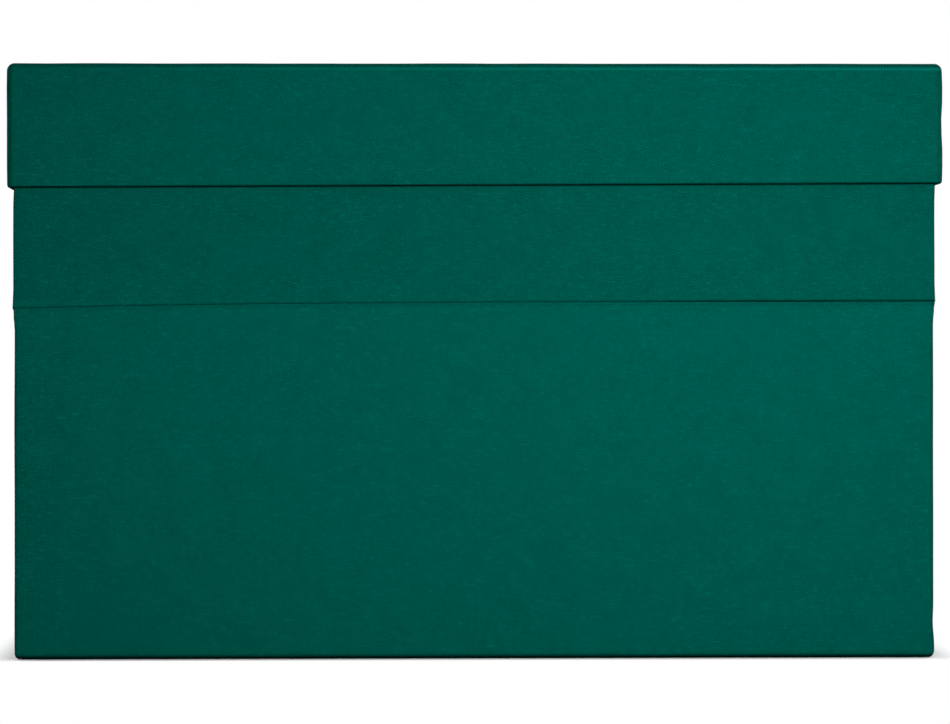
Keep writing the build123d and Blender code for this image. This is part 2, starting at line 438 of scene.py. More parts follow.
def front_faults(x, y, z):
    """The groove, the roll, the foot, the flare and the pinch of the front cloth."""
    at_groove = (z > roll_top_z - LIP - NEAR) & (z < flap_low_z + FLAP_EDGE + NEAR)
    at_groove &= y < groove_y + NEAR
    share = GROOVE_SHARE + GROOVE_DEEPENS * ease(DEEPENS_FAST * x / body_x - DEEPENS_LATE)
    y = np.where(at_groove, front_y + (y - front_y) * share, y)
    on_roll = (z > roll_top_z - LIP - NEAR) & (z < roll_top_z + NEAR)
    z = np.where(on_roll, roll_top_z - (roll_top_z - z) * LIP_STRETCH, z)
    on_flap = (z > flap_low_z - NEAR) & (z < flap_low_z + FLAP_EDGE + NEAR)
    z = np.where(on_flap, flap_low_z + (z - flap_low_z) * FLAP_STRETCH, z)
    on_foot = z < body_low + LIP + NEAR
    z = np.where(on_foot, body_low + (z - body_low) * FOOT_STRETCH, z)
    side = np.sign(x)
    at_end = ease((np.abs(x) - body_x + END) / END)
    near_front = ease(1 - (y - front_y) / FLARE_BACK)
    below = ease(1 - (roll_top_z - z) / FLARE_REACH) * (z <= roll_top_z + NEAR)
    above = ease(1 - (z - roll_top_z) / FLARE_ABOVE) * (z > roll_top_z + NEAR)
    x = x + side * at_end * near_front * (FLARE * below + FLAP_FLARE * above)
    across = (x - PINCH_X) / PINCH_WIDE
    along = (z - PINCH_Z) / PINCH_TALL
    dent = np.exp(-across ** 2 - along ** 2) * (y < outer_layer)
    ridge = np.exp(-(across - RIDGE_ASIDE) ** 2 / RIDGE_SPREAD - along ** 2) * (y < outer_layer)
    y = y + PINCH_DEEP * dent - RIDGE_SHARE * PINCH_DEEP * ridge
    waist = np.exp(-((z - WAIST_Z) / WAIST_TALL) ** 2)
    swell = np.exp(-((z - SWELL_Z) / WAIST_TALL) ** 2)
    x = x - WAIST_DEEP * (waist - swell) * at_end * (x > 0)
    return x, y, z


reshape(front, front_faults)
reshape(front, follow_crease)
reshape(front, lean)
print(f"crease moved by {crease_rise(-body_x) / MM:.1f} to {crease_rise(body_x) / MM:.1f} mm")


# %% [markdown]
# ## The cloth round the sides and the back
#
# This is one long band. On the real box it is pasted round three sides, folded over the top
# edge into the box, and turned under the floor. A cube with its front, top and bottom taken
# away is already that band. Its open edges are then pulled over the board in two
# steps: first across the board's thickness, then down the inside. One scale about a fixed
# corner does each step for all edges at once, and leaves the mitred corners that a cutter makes.

# %% Side and back cloth
wrap = start_box(
    "side_and_back_cover", (-body_x, side_front_y, body_low), (body_x, body_back, body_top),
)
pick(
    "FACE",
    lambda x, y, z: near(y, side_front_y),
    lambda x, y, z: near(z, body_top),
    lambda x, y, z: near(z, body_low),
)
bpy.ops.mesh.delete(type="ONLY_FACE")
notch_z = side_board_low[2] + lower_board_high[2] - lower_board_low[2]
cut(1, [tab_end_y])
cut(2, [notch_z])
pick("FACE", lambda x, y, z: y < tab_end_y + NEAR and z < notch_z + NEAR)
bpy.ops.mesh.delete(type="FACE")
pick("EDGE", lambda x, y, z: y < tab_end_y - NEAR and z < notch_z - NEAR)
bpy.ops.mesh.delete(type="EDGE")
rim_tests = (
    lambda x, y, z: near(z, body_top),
    lambda x, y, z: near(y, side_front_y) and z > notch_z - NEAR,
)
inner_x = body_x - WALL
inner_back = body_back - WALL
pick("EDGE", *rim_tests, sides=1)
over_scale = (inner_x / body_x, (inner_back - side_front_y) / (body_back - side_front_y), 1)
extrude(scale=over_scale, about=(0, side_front_y, 0))
in_scale = (
    1,
    (inner_back - side_front_y - TURN_IN) / (inner_back - side_front_y),
    (body_top - TURN_IN - notch_z) / (body_top - notch_z),
)
extrude(scale=in_scale, about=(0, inner_back, notch_z))
pick("EDGE", lambda x, y, z: near(z, body_low), sides=1)
under = (
    (body_x - TURN_UNDER) / body_x,
    (body_back - TURN_UNDER - tab_end_y) / (body_back - tab_end_y),
    1,
)
extrude(scale=under, about=(0, tab_end_y, body_low))
weld()
print("side and back cloth corners:", len(bmesh.from_edit_mesh(wrap.data).verts))

# %% Side and back cloth: rounded edges and finer faces
CORNER = 1.6 * MM
pick(
    "EDGE",
    lambda x, y, z: near(abs(x), body_x) and near(y, body_back),
    lambda x, y, z: near(z, body_low) and near(abs(x), body_x),
    lambda x, y, z: near(z, body_low) and near(y, body_back),
    sides=2,
)
bevel(CORNER, segments=6)
pick(
    "EDGE",
    lambda x, y, z: near(z, body_top) and on_outline(x, y, body_x, body_back, CORNER),
    lambda x, y, z: near(abs(x), body_x) and near(y, side_front_y),
    sides=2,
)
bevel(FLAP_EDGE, segments=4)
pick(
    "EDGE",
    lambda x, y, z: near(z, body_top) and near(abs(x), inner_x),
    lambda x, y, z: near(z, body_top) and near(y, inner_back),
    lambda x, y, z: near(abs(x), inner_x) and near(y, side_front_y),
    sides=2,
)
bevel(INNER_EDGE, segments=2)
cut(1, steps(tab_end_y, body_back - CORNER, FACE))
cut(0, steps(-body_x + CORNER, body_x - CORNER, FACE))
cut(2, steps(body_low + CORNER, body_top - FLAP_EDGE, FACE))
print("side and back cloth faces:", len(bmesh.from_edit_mesh(wrap.data).faces))
close_edit()
reshape(wrap, follow_crease)
reshape(wrap, lean_outside)

# %% [markdown]
# ## The cloth over the lid
#
# The lid is the same idea upside down: a cube without its bottom, its open edge pulled
# across the board and up the inside. Its edges are softer than the body's, because a lid is
# handled most. The two corners that carry a lap of cloth come later.

# %% Lid cloth
LID_CORNER = 3.2 * MM
MOUTH_EDGE = 1.3 * MM
LAP = 12 * MM
LAP_STEP = 0.4 * MM
lid_x, lid_y = lid_high[0], lid_high[1]
lid_inner_x, lid_inner_y = lid_x - WALL, lid_y - WALL
mouth_z = lid_low[2]

lid = start_box("lid_cover", lid_low, lid_high)
pick("FACE", lambda x, y, z: near(z, mouth_z))
bpy.ops.mesh.delete(type="ONLY_FACE")
pick("EDGE", lambda x, y, z: near(z, mouth_z))
extrude(scale=(lid_inner_x / lid_x, lid_inner_y / lid_y, 1), about=(0, 0, mouth_z))
extrude(move=(0, 0, TURN_IN))
pick(
    "EDGE",
    lambda x, y, z: near(abs(x), lid_x) and near(abs(y), lid_y),
    lambda x, y, z: near(z, lid_high[2]),
)
bevel(LID_CORNER, segments=9)
pick(
    "EDGE",
    lambda x, y, z: near(z, mouth_z) and on_outline(x, y, lid_x, lid_y, LID_CORNER),
    sides=2,
)
bevel(MOUTH_EDGE, segments=4)
pick(
    "EDGE",
    lambda x, y, z: near(z, mouth_z) and near(abs(x), lid_inner_x) and abs(y) < lid_inner_y + NEAR,
    lambda x, y, z: near(z, mouth_z) and near(abs(y), lid_inner_y) and abs(x) < lid_inner_x + NEAR,
    sides=2,
)
bevel(INNER_EDGE, segments=2)
cut(0, steps(-lid_x + LID_CORNER, lid_x - LID_CORNER, FACE))
cut(1, steps(-lid_y + LID_CORNER, lid_y - LID_CORNER, FACE))
cut(2, steps(mouth_z + MOUTH_EDGE, lid_high[2] - LID_CORNER, FACE))
cut(1, [LAP - lid_y, LAP - lid_y + LAP_STEP])
print("lid cloth faces:", len(bmesh.from_edit_mesh(lid.data).faces))
close_edit()

# %% [markdown]
# At the two front corners the cloth of the short side is folded over the cloth of the front
# and cut off on the corner itself. The cut edge is a step of a quarter of a millimetre, half
# that on the left, with a fine groove before it. Seen from the front it is the light line beside
# the lid's ends. Twelve millimetres back from the front a second step shows where the lap ends.

# %% Lid cloth: laps at the front corners
LAP_ANGLE = math.radians(52)
LAP_TURN = math.radians(8)
LAP_HIGH = 0.25 * MM
LAP_GROOVE = 0.3 * MM
LAP_LAYER = 2 * MM          # what lies within this of the outside belongs to the lap
LAP_FROM = 0.5 * MM         # above the mouth
LAP_GROWS = 2 * MM
LAP_ENDS = 3 * MM           # below the top
LAP_FADES = 4 * MM
NOTCH_Z = 229 * MM
NOTCH_HALF = 7 * MM
NOTCH_DEEP = 1.6            # in heights of the lap


def lid_laps(x, y, z):
    """Raise the lapped cloth at the front corners, and cut a small notch in the right one."""
    past_x = np.abs(x) - (lid_x - LID_CORNER)
    past_y = -y - (lid_y - LID_CORNER)
    outer = past_x > LID_CORNER - LAP_LAYER
    angle = np.arctan2(past_x, past_y)
    raised = ease((angle - LAP_ANGLE) / LAP_TURN) * (past_y > LID_CORNER - LAP)
    groove = np.exp(-((angle - LAP_ANGLE + LAP_TURN / 2) / LAP_TURN) ** 2)
    from_mouth = ease((z - mouth_z - LAP_FROM) / LAP_GROWS)
    to_top = ease((lid_high[2] - z - LAP_ENDS) / LAP_FADES)
    notch = np.exp(-((z - NOTCH_Z) / NOTCH_HALF) ** 4) * (x > 0)
    high = np.where(x > 0, LAP_HIGH, LAP_HIGH / 2)
    push = high * raised * (1 - NOTCH_DEEP * notch) - LAP_GROOVE * groove
    push = push * (from_mouth * to_top) * outer
    return x + np.sign(x) * push * np.sin(angle), y - push * np.cos(angle), z


reshape(lid, lid_laps)
reshape(lid, follow_mouth)
print(f"laps raised by {LAP_HIGH / MM:.2f} mm on the right and half that on the left")

# %% [markdown]
# ## Boards, hinge strip and base sheet
#
# The boards under a slanting line have to slant with it, or they would come out through the
# cloth. So the boards of the lid's rim and of the front are made again as bevelled boxes and
# moved by the same rules as the cloth. The other boards and the papers come from the frame.

# %% Boards that follow the cloth
BOARD_END = 2 * MM
BOARD_FACE = 20 * MM


def make_board(node, rule, edges, widths, spare=0.0):
    """A board at its size in the frame less a little spare, rounded and moved by a rule."""
    low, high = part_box(node)
    if high[0] - low[0] > high[1] - low[1]:
        low, high = (low[0] + spare, low[1], low[2]), (high[0] - spare, high[1], high[2])
    high = (high[0], high[1], high[2] - spare)
    piece = start_box(node + "_covered", low, high)
    for width, tests in zip(widths, edges(low, high)):
        pick("EDGE", *tests)
        bevel(width, segments=3)
    cut(0, steps(low[0] + BOARD_END, high[0] - BOARD_END, BOARD_FACE))
    cut(2, steps(low[2] + BOARD_END, high[2] - BOARD_END, FACE))
    close_edit()
    reshape(piece, rule)
    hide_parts(node)
    return piece


def front_edges(low, high):
    """All four edges of a board's front face, in one go."""
    return ((
        lambda x, y, z: near(y, low[1]) and (near(x, low[0]) or near(x, high[0])),
        lambda x, y, z: near(y, low[1]) and (near(z, low[2]) or near(z, high[2])),
    ),)


def rim_edges(low, high):
    """The outer top edge and upright edges of a rim board, then its outer lower edge."""
    runs_across = high[0] - low[0] > high[1] - low[1]
    outer_x = max(abs(low[0]), abs(high[0]))
    outer_y = max(abs(low[1]), abs(high[1]))

    def outside(x, y):
        return near(abs(y), outer_y) if runs_across else near(abs(x), outer_x)

    return (
        (
            lambda x, y, z: outside(x, y) and near(z, high[2]),
            lambda x, y, z: runs_across and outside(x, y) and near(abs(x), outer_x),
        ),
        (lambda x, y, z: outside(x, y) and near(z, low[2]),),
    )


def under_front(x, y, z):
    """A board of the front does all that its cloth does."""
    return lean(*follow_crease(*front_faults(x, y, z)))


RIM_FLAT = 0.05 * MM        # what the rounding leaves of the board's thickness
RIM_ROUNDING = (BOARD - RIM_FLAT, MOUTH_EDGE - CLOTH)
RIM_SPARE = 0.8 * MM
FRONT_SPARE = 0.3 * MM
base_boards = [
    make_board("lower_front_board", under_front, front_edges, [LIP - CLOTH], spare=FRONT_SPARE),
    make_board("flap_board", under_front, front_edges, [FLAP_EDGE - CLOTH], spare=FRONT_SPARE),
]
lid_boards = [
    make_board(f"lid_{side}_board", follow_mouth, rim_edges, RIM_ROUNDING, spare=RIM_SPARE)
    for side in ("front", "back", "left", "right")
]
print("boards made again:", len(base_boards) + len(lid_boards))

# %% Hinge strip and base sheet
strip = start_box("hinge_strip_inside", strip_low, strip_high)
cut(0, steps(strip_low[0], strip_high[0], BOARD_FACE))
close_edit()
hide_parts("hinge_strip")

SHEET_STEP = sheet_high[2] / 2
SHEET_CORNER = 1.0 * MM
SHEET_FACE = 25 * MM
EDGE_FACE = 4 * MM
STEP_FACE = 1 * MM
STEP_ZONE = 2 * MM
STEP_WIDE = 1.5 * MM
base_cover = start_box("base_cover", sheet_low, (sheet_high[0], sheet_high[1], SHEET_STEP))
pick("EDGE", lambda x, y, z: near(abs(x), sheet_high[0]) and near(abs(y), sheet_high[1]))
bevel(SHEET_CORNER, segments=3)
for axis in (0, 1):
    inner = (body_x, body_back)[axis] - TURN_UNDER
    edge = sheet_high[axis]
    cut(axis, steps(-edge, -inner - STEP_ZONE, EDGE_FACE))
    cut(axis, [-inner - STEP_ZONE, -inner - STEP_FACE, -inner])
    cut(axis, [inner, inner + STEP_FACE, inner + STEP_ZONE])
    cut(axis, steps(inner + STEP_ZONE, edge, EDGE_FACE))
    cut(axis, steps(-inner, inner, SHEET_FACE))
close_edit()


def base_step(x, y, z):
    """The sheet sinks onto the board where the turned-under cloth ends."""
    inside_x = ease((body_x - TURN_UNDER + STEP_WIDE - np.abs(x)) / STEP_WIDE)
    inside_y = ease((body_back - TURN_UNDER + STEP_WIDE - np.abs(y)) / STEP_WIDE)
    return x, y, z + SHEET_STEP * inside_x * inside_y


reshape(base_cover, base_step)
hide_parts("base_sheet")
print("hinge strip and base sheet made")

# %% [markdown]
# ## Thickness, waves and threads
#
# Each cover is still a bare skin, so it gets the thickness of the cloth, inwards from the
# side that shows. The waves come first, along each vertex's own normal. Last, every face is told
# where it lies in the cloth, in metres, so that the weave has its real size and
# keeps its direction round every corner.

# %% Finish the covers
LEVEL_FACE = 0.72           # a face whose normal rises more than this lies level


def ripple(piece, seed):
    """Push each vertex of the outer layer along its normal by the slow waves."""
    mesh = piece.data
    count = len(mesh.vertices)
    places, normals = np.empty(count * 3), np.empty(count * 3)
    mesh.vertices.foreach_get("co", places)
    mesh.vertices.foreach_get("normal", normals)
    places, normals = places.reshape(-1, 3), normals.reshape(-1, 3)
    outwards = (places * normals).sum(axis=1) > 0
    height = slow_waves(*places.T, seed) * outwards
    mesh.vertices.foreach_set("co", (places + normals * height[:, None]).ravel())
    mesh.update()


def lay_threads(piece, half_x, half_y):
    """Tell each face where it lies in the cloth, in metres along and across the threads."""
    mesh = piece.data
    layer = mesh.uv_layers.new(name="cloth")
    for face in mesh.polygons:
        side = math.copysign(1, face.center.x)
        for loop in face.loop_indices:
            x, y, z = mesh.vertices[mesh.loops[loop].vertex_index].co
            if abs(face.normal.z) > LEVEL_FACE:
                place = (x, y)
            elif face.center.y < 0 and abs(x) < half_x:
                place = (x + side * (y + half_y), z)
            elif face.center.y < 0:
                place = (side * (half_x + y + half_y), z)
            else:
                place = (side * (2 * half_x + y + half_y) - x, z)
            layer.data[loop].uv = place


body_half = (body_x, body_back)
lid_half = (lid_x, lid_y)
for piece, seed, half in ((front, 11, body_half), (wrap, 23, body_half), (lid, 37, lid_half)):
    ripple(piece, seed)
    thicken(piece, CLOTH)
    smooth(piece)
    lay_threads(piece, *half)
    print(piece.name, "faces:", len(piece.data.polygons))
for piece in (strip, base_cover):
    smooth(piece)
    lay_threads(piece, *body_half)
for piece in base_boards + lid_boards:
    smooth(piece)

# %% [markdown]
# Every new piece rides one of the two bodies, and stands for the frame's node of the same
# part.

# %% Bodies
for piece in (front, wrap, strip, base_cover, *base_boards):
    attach(piece, "base")
for piece in (lid, *lid_boards):
    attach(piece, "lid")
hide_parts("front_cloth")
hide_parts("side_and_back_cloth")
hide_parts("lid_cloth")

# %% [markdown]
# ## Materials
#
# All the materials are made of nodes only. One helper below adds a node, sets it and links
# it, so that each material reads as a short list of what it is made of. Three more are short
# for the nodes that come up most. Colours are written as on a screen and turned into light by
# one function.

# %% Node helpers
def linear(code):
    """A screen colour such as 'a1b2c3', as linear light with full cover."""
    parts = [int(code[index:index + 2], 16) / 255 for index in (0, 2, 4)]
    return [p / 12.92 if p <= 0.04045 else ((p + 0.055) / 1.055) ** 2.4 for p in parts] + [1.0]


def add(tree, kind, inputs=None, **settings):
    """Add a node. A number goes into its socket, and a node or a socket is linked to it."""
    node = tree.nodes.new("ShaderNode" + kind)
    for name, value in settings.items():
        setattr(node, name, value)
    for name, value in (inputs or {}).items():
        if isinstance(value, bpy.types.Node):
            tree.links.new(value.outputs[0], node.inputs[name])
        elif isinstance(value, bpy.types.NodeSocket):
            tree.links.new(value, node.inputs[name])
        else:
            node.inputs[name].default_value = value
    return node


def ramp(tree, value, low, high, start=0.0, end=1.0):
    """Turn what lies between two marks into a start to an end, and hold it outside them."""
    return add(tree, "MapRange", {
        "Value": value, "From Min": low, "From Max": high, "To Min": start, "To Max": end,
    })


def noise(tree, place, scale, detail, roughness=0.5):
    """Soft random clouds. The scale says how many fit into one unit of the place."""
    return add(tree, "TexNoise", {
        "Vector": place, "Scale": scale, "Detail": detail, "Roughness": roughness,
    })


def blend(tree, share, first, second):
    """Mix two colours by a share, from all the first to all the second."""
    mix = add(
        tree, "Mix", {"Factor": share, 6: first, 7: second}, data_type="RGBA", clamp_factor=True,
    )
    return mix.outputs[2]


def blank_material(name):
    """A material with an empty tree and its output."""
    material = bpy.data.materials.new(name)
    material.use_nodes = True
    tree = material.node_tree
    tree.nodes.clear()
    return material, tree, tree.nodes.new("ShaderNodeOutputMaterial")


# %% [markdown]
# Book cloth is a plain weave: each thread goes over one and under one. The product of two sine
# waves has exactly that sign pattern, with a crown on every crossing. Threads are not even,
# though. They wander a little, and here and there one swells for a few millimetres.
# Such slubs, longer along the box than up it, are what the eye sees first from a distance.
# The glue under the cloth adds wide, faint clouds. Below the hinge the cloth is worn: its
# threads stand out less and less towards the foot. The flap gets painted shade, a touch darker,
# for the shade under the lid's rim, and the front below the hinge a touch of painted light.
# Along the upper edge of the lid runs a painted highlight: a fine light line in place of a sheen
# on the rounded edge, which grows stronger to the right. Faces that look down get painted shade.

# %% Book cloth
THREAD = 0.6 * MM
WANDER = 14 * MM
WANDER_BY = 1.4 * MM
SLUB = 0.16                 # how fast a thread's tone changes from crossing to crossing
APART = 7.3                 # how far apart in the noise two neighbouring threads lie
THREAD_FORCE = 0.8
CROWN_FORCE = 0.2
SLUB_FORCE = 0.22
CLOUD_FORCE = 0.2
PATCH = 5 * MM
PATCH_FORCE = 0.2           # what a faint patch keeps of the weave
CLOUD = 14 * MM
WORN_WEAVE = 0.58
# painted light below the hinge, and painted shade on the flap for the shade under the lid's rim
PAINTED_LIGHT_BELOW_HINGE = 0.08
FLAP_PAINTED_SHADE_TONE = 0.46
# painted highlight: a light line along the lid's upper edge, in place of a sheen on its rounded
# edge
PAINTED_HIGHLIGHT_Z = lid_high[2] - 2.4 * MM
PAINTED_HIGHLIGHT_HALF = 0.8 * MM
THREAD_RELIEF = 0.08 * MM
# painted shade: the dark green that faces looking down are mixed towards, for the shade under the
# edges
PAINTED_UNDERSIDE_SHADE = "00130f"
SHINE = "00d8b8"


def book_cloth(
    name, colour, dark_colour, weave, painted_under_shade=0.95, painted_highlight=0.0, plain=0.5, painted_light_below_hinge=0.0,
):
    """Dark green plain-woven cotton, dyed and filled, that hardly shines."""
    material, tree, output = blank_material(name)
    place = add(tree, "UVMap", uv_map="cloth")
    wander = noise(tree, place, scale=1 / WANDER, detail=1.0)
    centred = add(
        tree, "VectorMath", {0: wander.outputs["Color"], 1: (0.5, 0.5, 0.5)},
        operation="SUBTRACT",
    )
    moved = add(
        tree, "VectorMath", {0: centred, 1: (WANDER_BY, WANDER_BY, 0), 2: place},
        operation="MULTIPLY_ADD",
    )
    turns = add(tree, "VectorMath", {0: moved, "Scale": math.pi / THREAD}, operation="SCALE")
    split = add(tree, "SeparateXYZ", {0: turns})
    warp = add(tree, "Math", {0: split.outputs[0]}, operation="SINE")
    weft = add(tree, "Math", {0: split.outputs[1]}, operation="SINE")
    over = add(tree, "Math", {0: warp, 1: weft}, operation="MULTIPLY")
    crown = add(tree, "Math", {0: over}, operation="ABSOLUTE")

    counted = add(tree, "VectorMath", {0: moved, "Scale": 1 / THREAD}, operation="SCALE")
    numbers = add(tree, "VectorMath", {0: counted}, operation="FLOOR")
    own_tone = []
    for along_it, across_it in (((SLUB, 0, 0), (0, APART, 0)), ((0, SLUB, 0), (APART, 0, 0))):
        row = add(tree, "VectorMath", {0: numbers, 1: across_it}, operation="MULTIPLY")
        spot = add(tree, "VectorMath", {0: counted, 1: along_it, 2: row}, operation="MULTIPLY_ADD")
        own_tone.append(noise(tree, spot, scale=1.0, detail=2.0, roughness=0.7))
    on_top = ramp(tree, over, -0.25, 0.25)
    thread_tone = add(
        tree, "Mix", {"Factor": on_top, 2: own_tone[0], 3: own_tone[1]}, data_type="FLOAT",
    )
    cloud = noise(tree, place, scale=1 / CLOUD, detail=3.0, roughness=0.6)

    patch = noise(tree, place, scale=1 / PATCH, detail=3.0, roughness=0.6)
    force = ramp(tree, patch, 0.41, 0.62, start=PATCH_FORCE, end=weave)
    along, height = add(tree, "SeparateXYZ", {0: place}).outputs[:2]
    worn = ramp(tree, height, body_low, crease_z, start=WORN_WEAVE)
    force = add(tree, "Math", {0: force, 1: worn}, operation="MULTIPLY")
    # painted light: the cloth below the hinge is lighter, most at the crease, to balance the
    # flap's painted shade
    below_hinge = ramp(tree, height, crease_z + LIP, crease_z, end=painted_light_below_hinge)
    bare = add(tree, "Math", {0: below_hinge, 1: worn, 2: plain}, operation="MULTIPLY_ADD")
    tone = add(tree, "Math", {0: over, 1: force, 2: bare}, operation="MULTIPLY_ADD")
    slub = ramp(tree, own_tone[0], 0.56, 0.72, end=SLUB_FORCE)
    tone = add(tree, "Math", {0: tone, 1: slub}, operation="ADD")
    for source, middle, weight in (
        (thread_tone, 0.5, THREAD_FORCE),
        (crown, 0.4, CROWN_FORCE),
        (cloud, 0.5, CLOUD_FORCE),
    ):
        offset = add(tree, "Math", {0: source, 1: -middle}, operation="ADD")
        tone = add(tree, "Math", {0: offset, 1: weight, 2: tone}, operation="MULTIPLY_ADD")
    # painted highlight: a light band round the lid at this height, stronger to the right
    off_line = add(tree, "Math", {0: height, 1: PAINTED_HIGHLIGHT_Z}, operation="SUBTRACT")
    off_line = add(tree, "Math", {0: off_line}, operation="ABSOLUTE")
    line = ramp(tree, off_line, PAINTED_HIGHLIGHT_HALF, 0.0, end=painted_highlight)
    to_right = ramp(tree, along, -lid_x, lid_x)
    tone = add(tree, "Math", {0: line, 1: to_right, 2: tone}, operation="MULTIPLY_ADD")
    facing = add(tree, "SeparateXYZ", {0: add(tree, "NewGeometry").outputs["Normal"]})
    # painted shade: faces that look down are darkened, for the shade under the lid's rim and along
    # the foot
    under = ramp(tree, facing.outputs[2], -0.15, -0.75, end=painted_under_shade)
    # the dye's two greens mixed by the tone, which also carries the painted highlight and the
    # flap's painted shade
    dyed = blend(tree, tone, linear(dark_colour), linear(colour))
    dyed = blend(tree, under, dyed, linear(PAINTED_UNDERSIDE_SHADE))
    relief = add(tree, "Math", {0: thread_tone, 1: 0.9, 2: crown}, operation="MULTIPLY_ADD")
    bump = add(tree, "Bump", {"Height": relief, "Distance": THREAD_RELIEF, "Strength": 0.7})
    shader = add(tree, "BsdfPrincipled", {
        "Base Color": dyed,
        "Roughness": 0.85,
        "Specular IOR Level": 0.02,
        "Specular Tint": linear(SHINE),
        "Normal": bump,
    })
    tree.links.new(shader.outputs[0], output.inputs["Surface"])
    return material


# %% [markdown]
# Board and paper are both pressed fibre. What tells them apart is colour, the size of the
# fibres and how flat the face is. They have no threads, so they take their place from the
# object itself.

# %% Board and papers
HAZE = 30 * MM
HAZE_FORCE = 0.3
FLECK_FORCE = 0.8


def pressed_fibre(name, colour, fleck_colour, fibre, stretch, roughness, relief):
    """Pressed fibre with flecks. Long fibres read as kraft paper, short grey ones as board."""
    material, tree, output = blank_material(name)
    place = add(tree, "TexCoord")
    scaled = add(
        tree, "VectorMath",
        {0: place.outputs["Object"], 1: (1 / (fibre * stretch), 1 / fibre, 1 / fibre)},
        operation="MULTIPLY",
    )
    fleck = noise(tree, scaled, scale=1.0, detail=3.0, roughness=0.65)
    cloud = noise(tree, place.outputs["Object"], scale=1 / HAZE, detail=2.0)
    flecks = ramp(tree, fleck, 0.42, 0.74, end=FLECK_FORCE)
    haze = add(tree, "Math", {0: cloud, 1: HAZE_FORCE, 2: flecks}, operation="MULTIPLY_ADD")
    bump = add(tree, "Bump", {"Height": fleck, "Distance": relief, "Strength": 0.5})
    shader = add(tree, "BsdfPrincipled", {
        "Base Color": blend(tree, haze, linear(colour), linear(fleck_colour)),
        "Roughness": roughness,
        "Specular IOR Level": 0.3,
        "Normal": bump,
    })
    tree.links.new(shader.outputs[0], output.inputs["Surface"])
    return material


# %% [markdown]
# Two recipes give seven finishes. All the cloth is of one kind, so it could be one material,
# but the front and the lid each show wear of their own, and the sheet below is a little duller.
# Each finish says in a comment what it gives the eye.

# %% The finishes
GREEN = ("006659", "00322a")
# deep green with a fine grain, with painted shade on the flap and painted light below the hinge
front_cloth = book_cloth(
    "dyed_cotton_front_cloth", *GREEN, weave=0.65, plain=FLAP_PAINTED_SHADE_TONE, painted_light_below_hinge=PAINTED_LIGHT_BELOW_HINGE,
)
# the same green on the sides, the back and the inside of the hinge
body_cloth = book_cloth("dyed_cotton_body_cloth", *GREEN, weave=0.65)
# the same green with a painted highlight, a light line along the lid's upper edge
lid_cloth = book_cloth("dyed_cotton_lid_cloth", *GREEN, weave=0.63, painted_highlight=1.2)
# a slightly duller green below the box, evenly toned, without painted shade on faces that look
# down
base_cloth = book_cloth(
    "dyed_cotton_base_cloth", "006155", "003028", weave=0.6, painted_under_shade=0.0,
)
# warm grey with short dark flecks, where the board shows past its cloth and its paper
board_grey = pressed_fibre(
    "grey_binders_board", "aaa69d", "7d7972",
    fibre=0.5 * MM, stretch=1.5, roughness=0.85, relief=0.05 * MM,
)
# a pale, quiet inside that makes the green edge stand out
lining_paper = pressed_fibre(
    "off_white_lining_paper", "ebe6d8", "d8d1bf",
    fibre=0.35 * MM, stretch=3, roughness=0.75, relief=0.02 * MM,
)
# brown with long fibres and a slight shine from the gum
kraft_paper = pressed_fibre(
    "brown_gummed_kraft_paper", "b58f63", "8d6a43",
    fibre=0.3 * MM, stretch=8, roughness=0.6, relief=0.03 * MM,
)
finishes = (
    front_cloth, body_cloth, lid_cloth, base_cloth, board_grey, lining_paper, kraft_paper,
)
print("finishes made:", len(finishes))

# %% Give every piece its material
def dress(piece, material):
    """The one material of a piece."""
    piece.data.materials.clear()
    piece.data.materials.append(material)


dress(front, front_cloth)
for piece in (wrap, strip):
    dress(piece, body_cloth)
dress(lid, lid_cloth)
dress(base_cover, base_cloth)
for piece in base_boards + lid_boards:
    dress(piece, board_grey)
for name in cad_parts:
    node = bpy.data.objects[name]
    if name.endswith("lining"):
        dress(node, lining_paper)
    elif name.endswith("stays"):
        dress(node, kraft_paper)
    elif name.endswith("board"):
        dress(node, board_grey)
    else:
        dress(node, body_cloth)
print("pieces dressed:", len(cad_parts), "from the frame, and the new ones")

# %% [markdown]
# ## Floor, light and camera
#
# The box stands on a pale floor. Close to the box the floor shows its real shading, so the
# dark line under the edge is there. Further out it is lifted to plain white for the camera
# alone, so the picture has a clean ground while little light is thrown back up at the box.

# %% Floor
FLOOR = 12.0
SHADOW_WIDTH = 16 * MM
FLOOR_IN_LIGHT = "585858"
FLOOR_IN_VIEW = "f0f0f0"
bpy.ops.mesh.primitive_plane_add(size=FLOOR)
floor = bpy.context.object
floor.name = floor.data.name = "studio_floor"
floor_paint, tree, output = blank_material("pale_floor_paint")
place = add(tree, "TexCoord")
outside = add(tree, "VectorMath", {0: place.outputs["Object"]}, operation="ABSOLUTE")
outside = add(tree, "VectorMath", {0: outside, 1: (body_x, body_back, 0)}, operation="SUBTRACT")
outside = add(tree, "VectorMath", {0: outside}, operation="MAXIMUM")
distance = add(tree, "VectorMath", {0: outside}, operation="LENGTH")
open_floor = add(
    tree, "MapRange", {"Value": distance.outputs["Value"], "From Max": SHADOW_WIDTH},
    interpolation_type="SMOOTHSTEP",
)
rays = add(tree, "LightPath")
lifted = add(tree, "Math", {0: open_floor, 1: rays.outputs["Is Camera Ray"]}, operation="MULTIPLY")
shaded = add(tree, "BsdfDiffuse", {"Color": linear(FLOOR_IN_LIGHT)})
coat = add(tree, "BsdfDiffuse", {"Color": linear(FLOOR_IN_VIEW)})
for_camera = add(tree, "MixShader", {0: rays.outputs["Is Camera Ray"], 2: coat})
near_floor = add(tree, "AddShader", {0: shaded, 1: for_camera})
white = add(tree, "Emission", {"Color": (1, 1, 1, 1), "Strength": 1.0})
seen = add(tree, "MixShader", {0: lifted, 1: near_floor, 2: white})
tree.links.new(seen.outputs[0], output.inputs["Surface"])
dress(floor, floor_paint)
